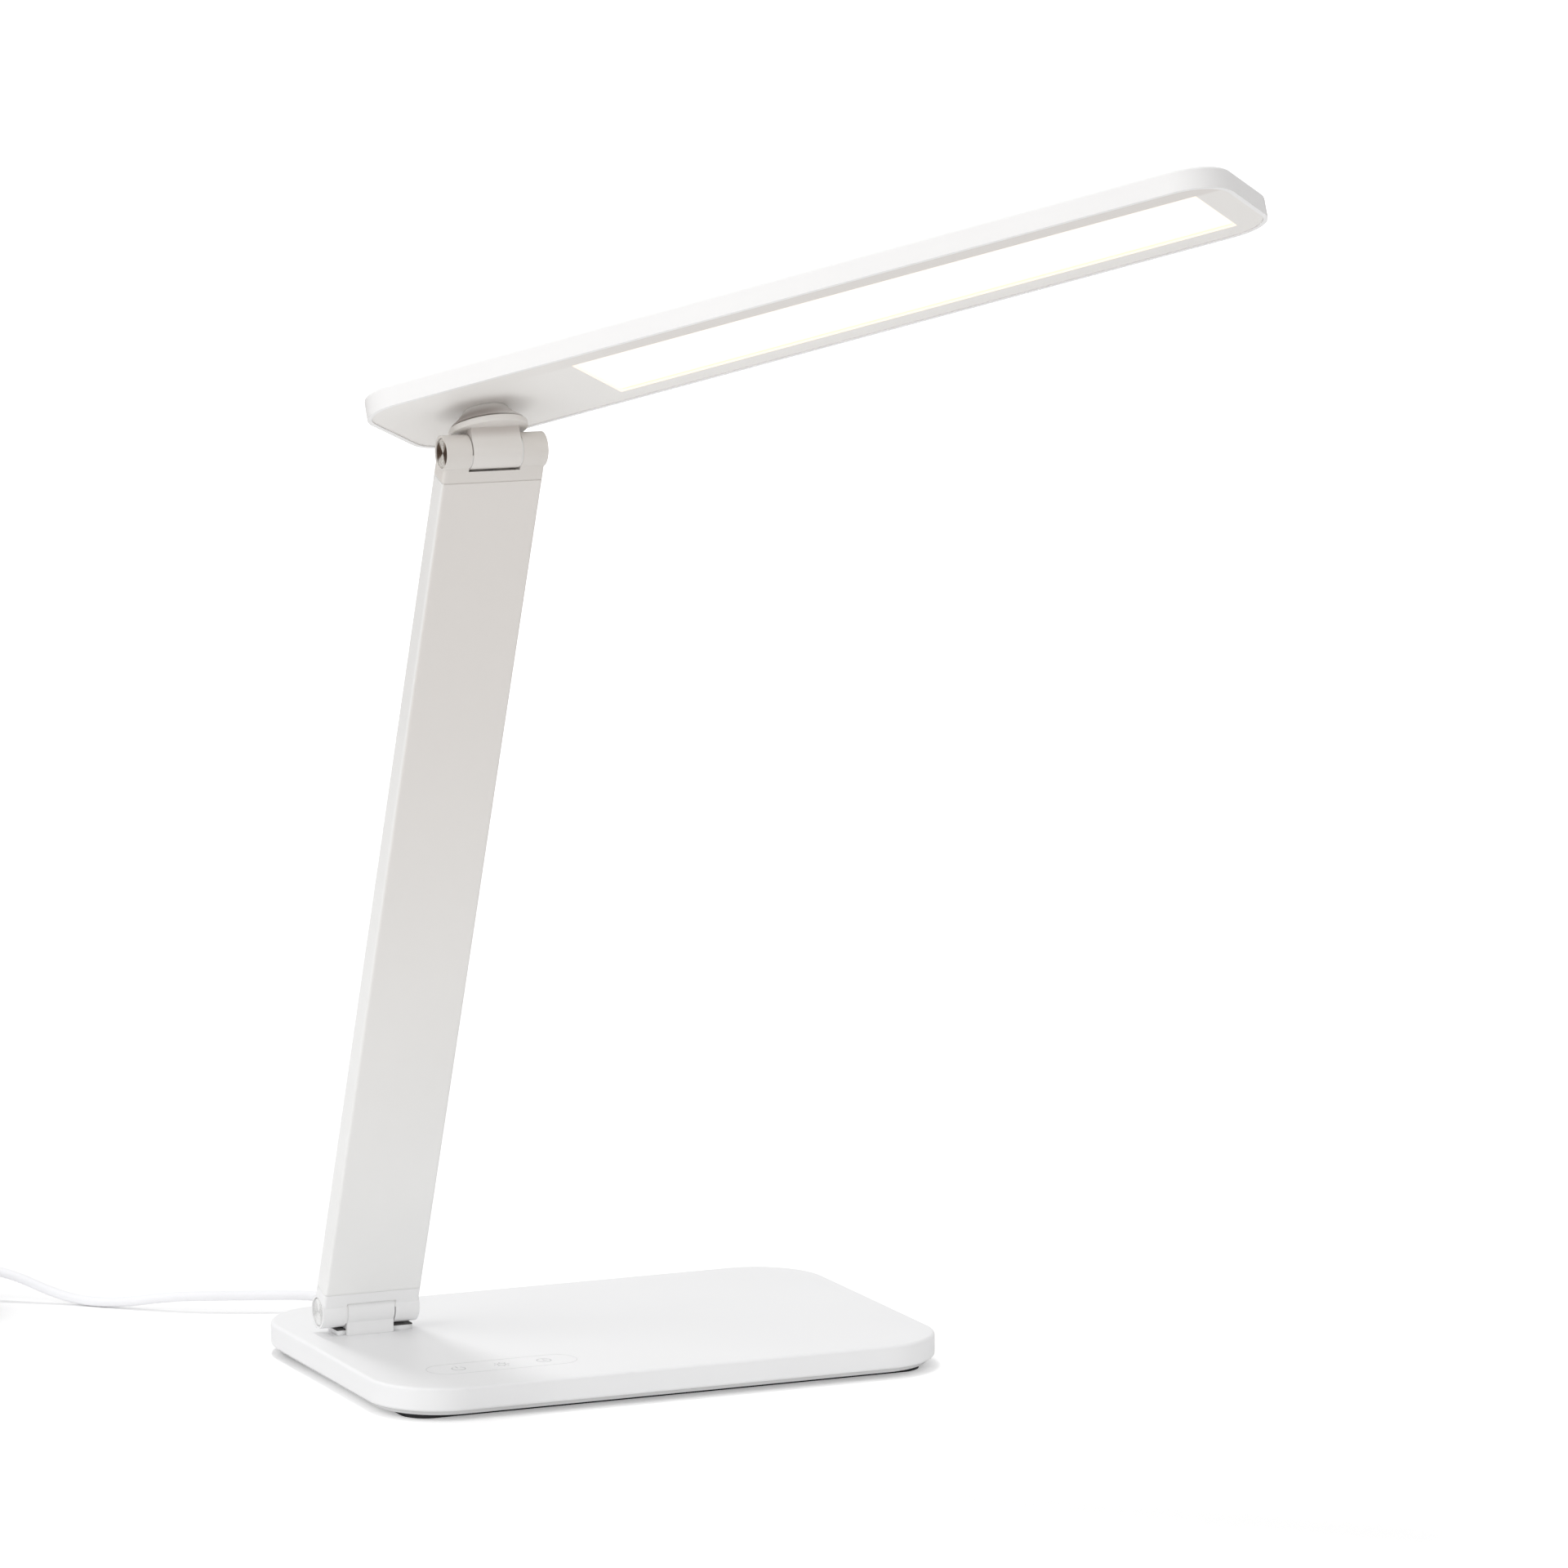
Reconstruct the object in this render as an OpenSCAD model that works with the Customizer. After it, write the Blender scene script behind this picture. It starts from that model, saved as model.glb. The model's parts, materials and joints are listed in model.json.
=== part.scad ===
// Folding desk lamp: a weighted base with touch controls, a flat arm on a friction hinge, and a long
// flat light head on a second hinge and a swivel. Millimetres, +Z up, origin under the middle of the
// base on the surface the lamp stands on, +X along the base, +Y to the back.

/* [Base] */
// Length of the base
base_l = 179; // [170:1:200]
// Depth of the base
base_d = 120; // [112:1:130]
// Height of the top of the base
base_top = 10.1; // [10.1:0.1:10.8]
// Height of the lower rim of the shell
rim_z = 2.9; // [2.4:0.1:3]
// Radius of the corners in plan
base_corner = 22; // [16:1:26]
// Radius of the top and bottom edges
base_edge = 1; // [0.6:0.1:1.4]
// Wall of the shell
base_wall = 2; // [1.8:0.1:2]
// Thickness of the foam pad
pad_t = 1.6; // [1.2:0.1:1.6]

/* [Hinges] */
// Middle of both hinge barrels along X
hinge_x = -67.5; // [-70:0.5:-60]
// Lower hinge axis, from the middle of the base
hinge_y = 20.5; // [15:0.5:26]
// Lower hinge axis, above the table
hinge_z = 17.2; // [16.2:0.1:17.4]
// Radius of the barrels
barrel_r = 5; // [4.8:0.1:5]
// Length of the barrels
barrel_l = 30.5; // [28:0.5:32]
// Width of the middle knuckle
knuckle_w = 14.7; // [13:0.1:15]
// Gap between knuckles, where the washers sit
knuckle_gap = 0.4; // [0.4:0.1:0.5]
// Radius of the hinge pins
pin_r = 2; // [1.8:0.1:2]
// Running clearance of the pins
pin_play = 0.05; // [0.03:0.01:0.08]

/* [Arm] */
// Distance between the two hinge axes
arm_reach = 285; // [240:0.1:320]
// Thickness of the arm
arm_t = 7.5; // [7:0.1:7.6]
// Lean of the arm from upright, towards the front
arm_lean = 20.9; // [0:0.1:40]
// Wall of the arm tube
tube_wall = 1.2; // [1:0.1:1.5]
// Length of each end casting that shows, from its axis
end_show = 8; // [7:0.5:10]

/* [Head] */
// Length of the head
head_l = 258.5; // [250:0.5:290]
// Width of the head
head_w = 55.4; // [52:0.1:60]
// Thickness of the head
head_t = 6.4; // [6.4:0.1:7]
// Length of the head behind the swivel axis
head_back = 29; // [26:0.5:34]
// Radius of the corners in plan
head_corner = 13.5; // [8:0.5:16]
// Lean of the swivel axis from upright, towards the back
head_pitch = 23.8; // [0:0.1:40]
// Turn of the head from sideways, towards the front
head_turn = 43.8; // [0:0.1:90]
// Length of the lit opening
panel_l = 185; // [170:1:190]
// Width of the lit opening
panel_w = 35.8; // [30:0.1:38]

/* [Swivel] */
// Hinge axis to the underside of the head
head_rise = 12; // [12:0.1:13]
// Radius of the swivel disc
disc_r = 11.3; // [10:0.1:12]
// Hinge axis to the underside of the disc
disc_z = 5.6; // [5.5:0.1:6.2]
// Thickness of the disc
disc_t = 1.8; // [1.6:0.1:2]
// Radius of the boss under the head
boss_r = 5.5; // [5.4:0.1:8]
// Radius of the hollow stud
stud_r = 4; // [3.5:0.1:4]

/* [Cord] */
// Diameter of the cord
cord_d = 3; // [2.8:0.1:3.2]

/* [Hidden] */

$fn = 64;
over = 0.5;                       // how far a cutter runs past the face it cuts
slip = 0.1;                       // side play between pieces of one body

// Colours
white = [0.93, 0.93, 0.94];
steel = [0.62, 0.63, 0.65];
chrome = [0.8, 0.8, 0.8];
dark = [0.2, 0.2, 0.21];
copper = [0.72, 0.45, 0.28];

// Base
roof_z = base_top - base_wall;    // underside of the roof
base_inner_edge = 0.3;
plate_t = 1.6;
plate_z = pad_t;
floor_z = plate_z + plate_t;      // top of the bottom plate
plate_gap = 0.3;                  // between the plate and the wall of the shell
pad_inset = 7;
pad_corner = 8;
boss_x = base_l / 2 - 12;
boss_y = base_d / 2 - 12;
base_boss_r = 3;
screw_r = 1.25;
screw_head_r = 2.4;
screw_head_t = 0.9;
base_screw_l = 4.6;
hole_play = 0.15;                 // clearance of a screw in a plate
small_head_t = 0.9;
driver_slot = 0.5;
blind = 0.8;                      // skin left above a blind hole
ballast_t = 3.8;
ballast_x0 = -12;
ballast_x1 = base_l / 2 - 22;
ballast_y = base_d / 2 - 7;
ballast_leg_x = -42;
ballast_leg_y = -22;
ballast_ear = 18;
ballast_ear_y = base_d / 2 - 23;
rib_t = 1.2;
rib_x = [8, 50];                  // the ribs hold the ballast down
rib_y = [-26, 26];

// Control board
touch_x = -47.4;
touch_y = -37;
touch_pitch = 13.5;
board_l = 52;
board_w = 21;
board_t = 1.2;
board_z = 4.8;
board_hole = [23, 7.5];           // from the middle of the board
board_boss_r = 2;
board_screw_r = 1;
board_screw_head_r = 1.9;
board_screw_l = 3.6;
board_parts = [[-16, -3, 5, 4, 1.1], [-4, -6, 4.4, 4.4, 1], [6, -5, 6, 6, 1.4], [14, 5, 5, 3, 1.4]];
spring_r = [2.9, 2.5, 2.1];       // turns of a touch spring, from the board up
spring_w = 0.8;
supply_r = 0.6;

// Bracket of the lower hinge
stem_front = 3.9;                 // the front of the stem clears the arm when it lies down
flange_l = 30;
flange_t = 2;
flange_z = 4.2;
flange_front = 9;
flange_back = 10;
bracket_hole_x = 11.5;
bracket_hole_y = [-6, 7];
bracket_boss_r = 2.4;
bracket_screw_r = 1.05;
bracket_screw_head_r = 2.1;
bracket_screw_l = 4.8;

// Strain relief
relief_x = -52;
relief_z = 5.4;
relief_root_r = 2.5;
relief_tip_r = 2;
relief_l = 20;
relief_neck_r = 2.1;
relief_lip = 0.1;                 // lip against the inside of the wall
relief_lip_t = 1.2;
relief_notch = 7;
groove_n = 5;
groove_w = 1.1;
groove_d = 0.45;

// Hinge pin, nut and washers
head_cap_r = 4.2;                 // turned head of the pin
head_cap_t = 1.4;
cap_chamfer = 0.3;
cap_dish = 0.25;                  // hollow of the turned face
recess_r = 4.3;
cap_recess = 1.6;
nut_recess = 2.6;
nut_r = 3.7;
nut_t = 2;
thread_end = 0.3;                 // from the end of the thread to the side of the arm
washer_r = 3.9;
washer_t = knuckle_gap - 0.04;
knuckle_x = knuckle_w / 2;                  // half of the middle knuckle
fork_x = knuckle_x + knuckle_gap;           // inner face of an outer knuckle
barrel_x = barrel_l / 2;
saddle_r = barrel_r + 0.7;

// Arm
arm_edge = 1;                     // corner radius of the tube in section
bore_edge = 0.4;
groove = 0.3;                     // shadow line between an end casting and the tube
groove_in = 0.4;
tongue_l = 16;
tongue_slip = 0.05;
pocket = [7, 3];
pocket_x = 8.5;
pocket_z = 2;
lead_r = 1.1;
lead_play = 0.2;
lead_sag = 1;

// Upper hinge axis in the lamp's frame
top_y = hinge_y - arm_reach * sin(arm_lean);
top_z = hinge_z + arm_reach * cos(arm_lean);

// Swivel
neck_front = barrel_r;
neck_back = 3.9;                  // the back of the neck clears the arm when the head folds down
disc_edge = 0.4;
swivel_gap = 0.4;                 // between the disc and the boss
boss_h = head_rise - disc_z - disc_t - swivel_gap;
stud_play = 0.08;
stud_bore = 2.2;
stud_top = 4.1;                   // above the underside of the head
stud_slip = 0.1;
swivel_play = 0.04;
swivel_washer_r = [5.3, 7];       // below the boss, under the nut
swivel_washer_t = 0.36;
swivel_nut_r = 6;
swivel_nut_t = 2;

// Head
shell_t = 1.3;
head_roof = 1.4;
head_edge = 1;
inner_edge = 0.7;
frame_z = 0.3;                    // the frame sits a little above the rim of the shell
frame_t = 1.2;
frame_top = frame_z + frame_t;
frame_gap = 0.05;
panel_x0 = 34.7;                  // near end of the opening, from the swivel axis
panel_x = panel_x0 + panel_l / 2;
panel_corner = 2;
panel_inset = 0.5;                // diffuser behind the face of the frame
flange_side = 3.6;                // step of the diffuser behind the frame
diffuser_t = 0.8;
guide_z = frame_top + diffuser_t;
guide_t = 1.9;
guide_l = panel_l + 4;
guide_w = panel_w + 3.6;
reflector_t = 0.2;
strip_y = 20.9;
strip_t = 0.8;
strip_l = 186;
led_n = 24;
led_size = [2.8, 0.8, 1.4];
spreader_leg = 0.6;
spreader_l = 195;
spreader_gap = 0.2;
clip_n = 6;
clip_end = 30;                    // first clip, from the end of the head
clip = [5, 0.9, 1.6];
head_lead_r = 0.35;

// Cord, from the strain relief down to the table and up onto the top turn of the coil
cord_r = cord_d / 2;
cord_route = [[-52, 80, 5.4], [-52, 82, 5.4], [-53, 85.5, 5.5], [-56, 90.5, 5.6], [-61, 94.5, 5.6],
    [-68, 98, 5.5], [-75.5, 101.3, 5.4], [-82, 104.2, 5.3], [-88, 107.3, 5.1], [-93.5, 110.8, 4.7],
    [-98.5, 114.4, 4], [-103.5, 118.4, 2.9], [-108, 122.2, 2.1], [-112.5, 126.2, 1.6],
    [-117.5, 130.8, 1.7], [-122.5, 134.9, 2.8], [-127.5, 138.9, 4.7], [-132.8, 142.9, 7.2],
    [-138.7, 147.2, 9.2], [-146, 151.9, 10.3], [-154.5, 156.1, 10.5], [-163.7, 158.8, 10.5]];
coil_x = -169;
coil_y = 139;
coil_in = 9;
coil_out = 22;
coil_h = 12;
tail_x = coil_x - coil_out + cord_r;
plug_y = 118;                     // where the cord enters the plug
plug_z = 3.8;
tail_route = [[tail_x, coil_y, cord_r], [tail_x, 131, 1.7], [tail_x, 124.5, 3.1],
    [tail_x, 120.5, plug_z], [tail_x, plug_y, plug_z]];
tie_w = 6;
tie_t = 0.6;
tie_angle = -60;

// USB plug
plug_relief = 9;
plug_relief_r = [cord_r + 0.5, cord_r + 1.3];
plug_l = 24;
plug_w = 14.4;
plug_h = 7.6;
plug_corner = 2.6;
usb_l = 15;
usb_in = 3;                       // length of the metal shell inside the body
usb_w = 12;
usb_h = 4.5;
usb_wall = 0.4;
usb_tongue = 1.8;
usb_hole = 2;                     // side of a catch window
usb_hole_x = 2.9;
usb_hole_z = 8;

// ---- shapes that repeat ----

// Rectangle with round corners, centred
module round_rect(w, d, r) {
    square([w - 2 * r, d], center = true);
    square([w, d - 2 * r], center = true);
    for (x = [-1, 1], y = [-1, 1]) translate([x * (w / 2 - r), y * (d / 2 - r)]) circle(r);
}

// Plate with round corners, standing on z
module round_plate(w, d, r, z, t) {
    translate([0, 0, z]) linear_extrude(t) round_rect(w, d, r);
}

// Section through a tray: its two top corners rounded, and the two bottom ones if both is true
module tray_section(w, h, edge, both) {
    low = both ? edge : 0;
    translate([-w / 2, low]) square([w, h - edge - low]);
    translate([edge - w / 2, 0]) square([w - 2 * edge, h]);
    for (x = [-1, 1], y = both ? [edge, h - edge] : [h - edge])
        translate([x * (w / 2 - edge), y]) circle(edge);
}

// Half of that section, for a corner
module corner_section(r, h, edge, both) {
    low = both ? edge : 0;
    translate([0, low]) square([r, h - edge - low]);
    square([r - edge, h]);
    for (y = both ? [edge, h - edge] : [h - edge]) translate([r - edge, y]) circle(edge);
}

// Solid block with round corners in plan and a round top edge, or both edges round, standing on z = 0
module tray_block(w, d, h, corner, edge, both = false) {
    union() {
        translate([corner - w / 2, 0, 0]) rotate([90, 0, 90])
            linear_extrude(w - 2 * corner) tray_section(d, h, edge, both);
        translate([0, d / 2 - corner, 0]) rotate([90, 0, 0])
            linear_extrude(d - 2 * corner) tray_section(w, h, edge, both);
        for (x = [-1, 1], y = [-1, 1]) translate([x * (w / 2 - corner), y * (d / 2 - corner), 0])
            rotate_extrude() corner_section(corner, h, edge, both);
    }
}

// Cylinder along X from x0 to x1
module rod_x(r, x0, x1) {
    translate([x0, 0, 0]) rotate([0, 90, 0]) cylinder(r = r, h = x1 - x0);
}

function unit(v) = v / norm(v);
function heading(p, i) = unit(p[min(i + 1, len(p) - 1)] - p[max(i - 1, 0)]);
function ring(p, i, r, sides, up) =
    let (t = heading(p, i), s = unit(cross(t, up)), u = cross(s, t))
    [for (k = [0 : sides - 1]) p[i] + r * (cos(360 * k / sides) * s + sin(360 * k / sides) * u)];

// Round tube along the points p; up is any direction that the route never takes
module tube_along(p, r, sides, up) {
    n = len(p);
    points = [for (i = [0 : n - 1]) each ring(p, i, r, sides, up)];
    skin = [for (i = [0 : n - 2], k = [0 : sides - 1])
        let (j = (k + 1) % sides) [i * sides + k, i * sides + j, (i + 1) * sides + j, (i + 1) * sides + k]];
    start = [for (k = [sides - 1 : -1 : 0]) k];
    end = [for (k = [0 : sides - 1]) (n - 1) * sides + k];
    polyhedron(points, concat([start], skin, [end]), convexity = 10);
}

// Frames of the moving bodies
module in_hinge() { translate([hinge_x, hinge_y, hinge_z]) children(); }
module in_arm() { in_hinge() rotate([arm_lean, 0, 0]) children(); }
module in_neck() { translate([hinge_x, top_y, top_z]) rotate([-head_pitch, 0, 0]) children(); }
module in_head() { in_neck() translate([0, 0, head_rise]) rotate([0, 0, -head_turn]) children(); }

// ---- base ----

module at_base_bosses() {
    for (x = [-1, 1], y = [-1, 1]) translate([x * boss_x, y * boss_y, 0]) children();
}
module at_board_holes() {
    for (s = [-1, 1]) translate([touch_x + s * board_hole[0], touch_y + s * board_hole[1], 0]) children();
}
module at_bracket_holes() {
    for (x = [-1, 1], y = bracket_hole_y)
        translate([hinge_x + x * bracket_hole_x, hinge_y + y, 0]) children();
}

module base_shell() {
    boss_h = roof_z - floor_z;
    flange_top = flange_z + flange_t;
    color(white) difference() {
        union() {
            difference() {
                translate([0, 0, rim_z])
                    tray_block(base_l, base_d, base_top - rim_z, base_corner, base_edge, true);
                translate([0, 0, rim_z - over])
                    tray_block(base_l - 2 * base_wall, base_d - 2 * base_wall, roof_z - rim_z + over,
                        base_corner - base_wall, base_inner_edge);
            }
            at_base_bosses() translate([0, 0, floor_z]) cylinder(r = base_boss_r, h = boss_h + over);
            at_board_holes() translate([0, 0, board_z + board_t])
                cylinder(r = board_boss_r, h = roof_z - board_z - board_t + over);
            at_bracket_holes() translate([0, 0, flange_top])
                cylinder(r = bracket_boss_r, h = roof_z - flange_top + over);
            for (x = rib_x) translate([x, -ballast_y, floor_z + ballast_t])
                cube([rib_t, 2 * ballast_y, roof_z - floor_z - ballast_t + over]);
            for (y = rib_y) translate([ballast_x0, y, floor_z + ballast_t])
                cube([ballast_x1 - ballast_x0, rib_t, roof_z - floor_z - ballast_t + over]);
        }
        at_base_bosses() translate([0, 0, floor_z - over])
            cylinder(r = screw_r + pin_play, h = boss_h);
        at_board_holes() translate([0, 0, board_z])
            cylinder(r = board_screw_r + pin_play, h = base_top - blind - board_z);
        at_bracket_holes() translate([0, 0, flange_z])
            cylinder(r = bracket_screw_r + pin_play, h = base_top - blind - flange_z);
        // slot for the stem of the hinge bracket
        translate([hinge_x - knuckle_x - slip, hinge_y - stem_front - slip, roof_z - over])
            cube([knuckle_w + 2 * slip, stem_front + barrel_r + 2 * slip, base_wall + 2 * over]);
        // hole for the strain relief
        translate([relief_x, base_d / 2 + over, relief_z]) rotate([90, 0, 0])
            cylinder(r = relief_neck_r + pin_play, h = base_wall + 2 * over);
    }
}

module base_plate() {
    inset = base_wall + plate_gap;
    color(white) difference() {
        round_plate(base_l - 2 * inset, base_d - 2 * inset, base_corner - inset, plate_z, plate_t);
        at_base_bosses() {
            translate([0, 0, plate_z - over]) cylinder(r = screw_r + hole_play, h = plate_t + 2 * over);
            translate([0, 0, plate_z - over])
                cylinder(r = screw_head_r + hole_play, h = screw_head_t + over);
        }
        // notch under the lip of the strain relief
        translate([relief_x, base_d / 2 - base_wall, plate_z + plate_t])
            cube([relief_notch, relief_notch, plate_t], center = true);
    }
}

module anti_slip_pad() {
    color(dark) round_plate(base_l - 2 * pad_inset, base_d - 2 * pad_inset, pad_corner, 0, pad_t);
}

module ballast_plate() {
    color(steel) translate([0, 0, floor_z]) linear_extrude(ballast_t) {
        translate([ballast_x0, -ballast_y]) square([ballast_x1 - ballast_x0, 2 * ballast_y]);
        translate([ballast_leg_x, ballast_leg_y])
            square([ballast_x0 - ballast_leg_x + over, ballast_y - ballast_leg_y]);
        translate([ballast_x1 - over, -ballast_ear_y]) square([ballast_ear + over, 2 * ballast_ear_y]);
    }
}

// Pan head screw pointing up, its head from z to z + head_t
module screw_up(r, head_r, z, head_t, l) {
    translate([0, 0, z]) difference() {
        cylinder(r = head_r, h = head_t);
        for (a = [0, 90]) rotate([0, 0, a]) translate([-head_r / 2, -driver_slot / 2, -over])
            cube([head_r, driver_slot, over + head_t / 2]);
    }
    translate([0, 0, z + head_t]) cylinder(r = r, h = l);
}

module base_screws() {
    color(steel) at_base_bosses() screw_up(screw_r, screw_head_r, plate_z, screw_head_t, base_screw_l);
}

module control_board() {
    color([0.1, 0.35, 0.2]) difference() {
        translate([touch_x, touch_y, 0]) {
            translate([-board_l / 2, -board_w / 2, board_z]) cube([board_l, board_w, board_t]);
            // touch chip, driver chip, coil and connector on the underside
            for (part = board_parts) translate([part[0], part[1] - part[3] / 2, board_z - part[4]])
                cube([part[2], part[3], part[4] + over]);
        }
        at_board_holes() translate([0, 0, board_z - over])
            cylinder(r = board_screw_r + hole_play, h = board_t + 2 * over);
    }
}

module board_screws() {
    color(steel) at_board_holes()
        screw_up(board_screw_r, board_screw_head_r, board_z - small_head_t, small_head_t, board_screw_l);
}

module touch_springs() {
    board_top = board_z + board_t;
    pitch = (roof_z - board_top) / len(spring_r);
    color(copper) for (k = [-1, 0, 1]) translate([touch_x + k * touch_pitch, touch_y, board_top])
        for (i = [0 : len(spring_r) - 1])
            rotate_extrude() translate([spring_r[i] - spring_w / 2, i * pitch]) square([spring_w, pitch]);
}

module hinge_bracket() {
    color(white) difference() {
        in_hinge() {
            rod_x(barrel_r, -knuckle_x, knuckle_x);
            // stem through the roof
            translate([-knuckle_x, -stem_front, flange_z - hinge_z])
                cube([knuckle_w, stem_front + barrel_r, hinge_z - flange_z]);
            translate([-flange_l / 2, -flange_front, flange_z - hinge_z])
                cube([flange_l, flange_front + flange_back, flange_t]);
        }
        in_hinge() rod_x(pin_r + pin_play, -knuckle_x - over, knuckle_x + over);
        at_bracket_holes() translate([0, 0, flange_z - over])
            cylinder(r = bracket_screw_r + hole_play, h = flange_t + 2 * over);
    }
}

module bracket_screws() {
    color(steel) at_bracket_holes() screw_up(bracket_screw_r, bracket_screw_head_r,
        flange_z - small_head_t, small_head_t, bracket_screw_l);
}

module supply_lead() {
    z = relief_z;
    inside = base_d / 2 - base_wall - relief_lip_t;
    plugged = [touch_x + 1, touch_y + board_w / 2, board_z + board_t / 2];
    color(dark) tube_along([[relief_x, inside, z], [relief_x, inside - 6, z], [-50, 43, z], [-47.5, 36, z],
        [-47, 20, z], [-47, 0, z], [-47, -16, z], [-46, -24, z], plugged], supply_r, 8, [0, 0, 1]);
}

module strain_relief() {
    step = relief_l / (groove_n + 2);
    taper = (relief_root_r - relief_tip_r) / relief_l;
    lip_r = relief_root_r + relief_lip;
    lip_y = -base_wall - relief_lip_t;
    profile = concat([[0, lip_y], [lip_r, lip_y], [lip_r, -base_wall], [relief_neck_r, -base_wall],
        [relief_neck_r, 0], [relief_root_r, 0]],
        [for (i = [1 : groove_n]) let (y = i * step + groove_w, r = relief_root_r - taper * y)
            each [[r, y - groove_w], [r - groove_d, y - groove_w], [r - groove_d, y], [r, y]]],
        [[relief_tip_r, relief_l], [0, relief_l]]);
    color(white) translate([relief_x, base_d / 2, relief_z]) rotate([-90, 0, 0])
        rotate_extrude() polygon(profile);
}

// ---- cord and plug ----

module cord() { color(white) tube_along(cord_route, cord_r, 8, [0, 0, 1]); }
module cord_tail() { color(white) tube_along(tail_route, cord_r, 8, [1, 0, 0]); }

module cord_coil() {
    color(white) translate([coil_x, coil_y, 0]) rotate_extrude()
        translate([coil_in, 0]) square([coil_out - coil_in, coil_h]);
}

module cord_tie() {
    color(dark) translate([coil_x, coil_y, 0]) rotate([0, 0, tie_angle]) difference() {
        translate([coil_in - tie_t, -tie_w / 2, 0])
            cube([coil_out - coil_in + 2 * tie_t, tie_w, coil_h + tie_t]);
        translate([coil_in, -tie_w, tie_t]) cube([coil_out - coil_in, 2 * tie_w, coil_h - tie_t]);
    }
}

module at_plug() { translate([tail_x, plug_y, plug_z]) rotate([90, 0, 0]) children(); }

module plug_body() {
    color(white) at_plug() difference() {
        union() {
            cylinder(r1 = plug_relief_r[0], r2 = plug_relief_r[1], h = plug_relief);
            translate([0, 0, plug_relief]) linear_extrude(plug_l) round_rect(plug_w, plug_h, plug_corner);
        }
        translate([-usb_w / 2, -usb_h / 2, plug_relief + plug_l - usb_in])
            cube([usb_w, usb_h, usb_in + over]);
    }
}

module plug_shell() {
    color(steel) at_plug() translate([-usb_w / 2, -usb_h / 2, plug_relief + plug_l - usb_in]) {
        difference() {
            cube([usb_w, usb_h, usb_in + usb_l]);
            translate([usb_wall, usb_wall, usb_in])
                cube([usb_w - 2 * usb_wall, usb_h - 2 * usb_wall, usb_l + over]);
            for (x = [-1, 1], y = [0, usb_h])
                translate([usb_w / 2 + x * usb_hole_x - usb_hole / 2, y - 1, usb_in + usb_hole_z])
                    cube([usb_hole, usb_hole, usb_hole]);
        }
        // contact tongue
        translate([usb_wall, usb_wall, usb_in - over])
            cube([usb_w - 2 * usb_wall, usb_tongue, usb_l - usb_wall]);
    }
}

// ---- arm ----

module arm_tube() {
    color(white) in_arm() translate([0, 0, end_show]) difference() {
        linear_extrude(arm_reach - 2 * end_show) round_rect(barrel_l, arm_t, arm_edge);
        translate([0, 0, -over]) linear_extrude(arm_reach - 2 * end_show + 2 * over)
            round_rect(barrel_l - 2 * tube_wall, arm_t - 2 * tube_wall, bore_edge);
    }
}

// End casting with its axis at the origin and the tube in +z
module end_casting() {
    tongue_w = barrel_l - 2 * tube_wall - 2 * tongue_slip;
    tongue_t = arm_t - 2 * tube_wall - 2 * tongue_slip;
    difference() {
        union() {
            rod_x(barrel_r, -barrel_x, barrel_x);
            linear_extrude(end_show - groove) round_rect(barrel_l, arm_t, arm_edge);
            linear_extrude(end_show)
                round_rect(barrel_l - 2 * groove_in, arm_t - 2 * groove_in, arm_edge - groove_in);
            linear_extrude(end_show + tongue_l) round_rect(tongue_w, tongue_t, bore_edge);
        }
        // saddle around the middle knuckle
        rod_x(saddle_r, -fork_x, fork_x);
        translate([-fork_x, -barrel_r - over, -barrel_r - over])
            cube([2 * fork_x, 2 * (barrel_r + over), barrel_r + over]);
        // pin bore, recess of its head and recess of the nut
        rod_x(pin_r + pin_play, -barrel_x - over, barrel_x + over);
        rod_x(recess_r, -barrel_x - over, cap_recess - barrel_x);
        rod_x(recess_r, barrel_x - nut_recess, barrel_x + over);
        // two pockets and the way of the lead through the tongue
        for (x = [-1, 1]) translate([x * pocket_x - pocket[0] / 2, -pocket[1] / 2, end_show + pocket_z])
            cube([pocket[0], pocket[1], tongue_l]);
        cylinder(r = lead_r + lead_play, h = end_show + tongue_l + over);
    }
}

module lower_end() { color(white) in_arm() end_casting(); }
module upper_end() { color(white) in_arm() translate([0, 0, arm_reach]) mirror([0, 0, 1]) end_casting(); }

// Shoulder bolt along X: turned, slightly hollow head at the left, thread end at the right
module hinge_pin() {
    seat = cap_recess - barrel_x;
    tip = barrel_x - thread_end - seat;
    face_r = head_cap_r - 2 * cap_chamfer;
    steps = 7;
    color(chrome) translate([seat, 0, 0]) rotate([0, 90, 0]) rotate_extrude() polygon(concat(
        [[0, tip], [pin_r - cap_chamfer, tip], [pin_r, tip - cap_chamfer], [pin_r, 0], [head_cap_r, 0],
        [head_cap_r, cap_chamfer - head_cap_t], [head_cap_r - cap_chamfer, -head_cap_t]],
        [for (i = [steps : -1 : 0]) [face_r * i / steps, cap_dish * (1 - pow(i / steps, 2)) - head_cap_t]]));
}

module hinge_nut() {
    color(steel) difference() {
        translate([barrel_x - nut_recess, 0, 0]) rotate([0, 90, 0]) cylinder(r = nut_r, h = nut_t, $fn = 6);
        rod_x(pin_r + pin_play, 0, barrel_x + over);
    }
}

module hinge_washers() {
    color(steel) for (s = [0, 1]) mirror([s, 0, 0]) difference() {
        rod_x(washer_r, fork_x - washer_t, fork_x);
        rod_x(pin_r + 2 * pin_play, 0, barrel_x);
    }
}

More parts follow.
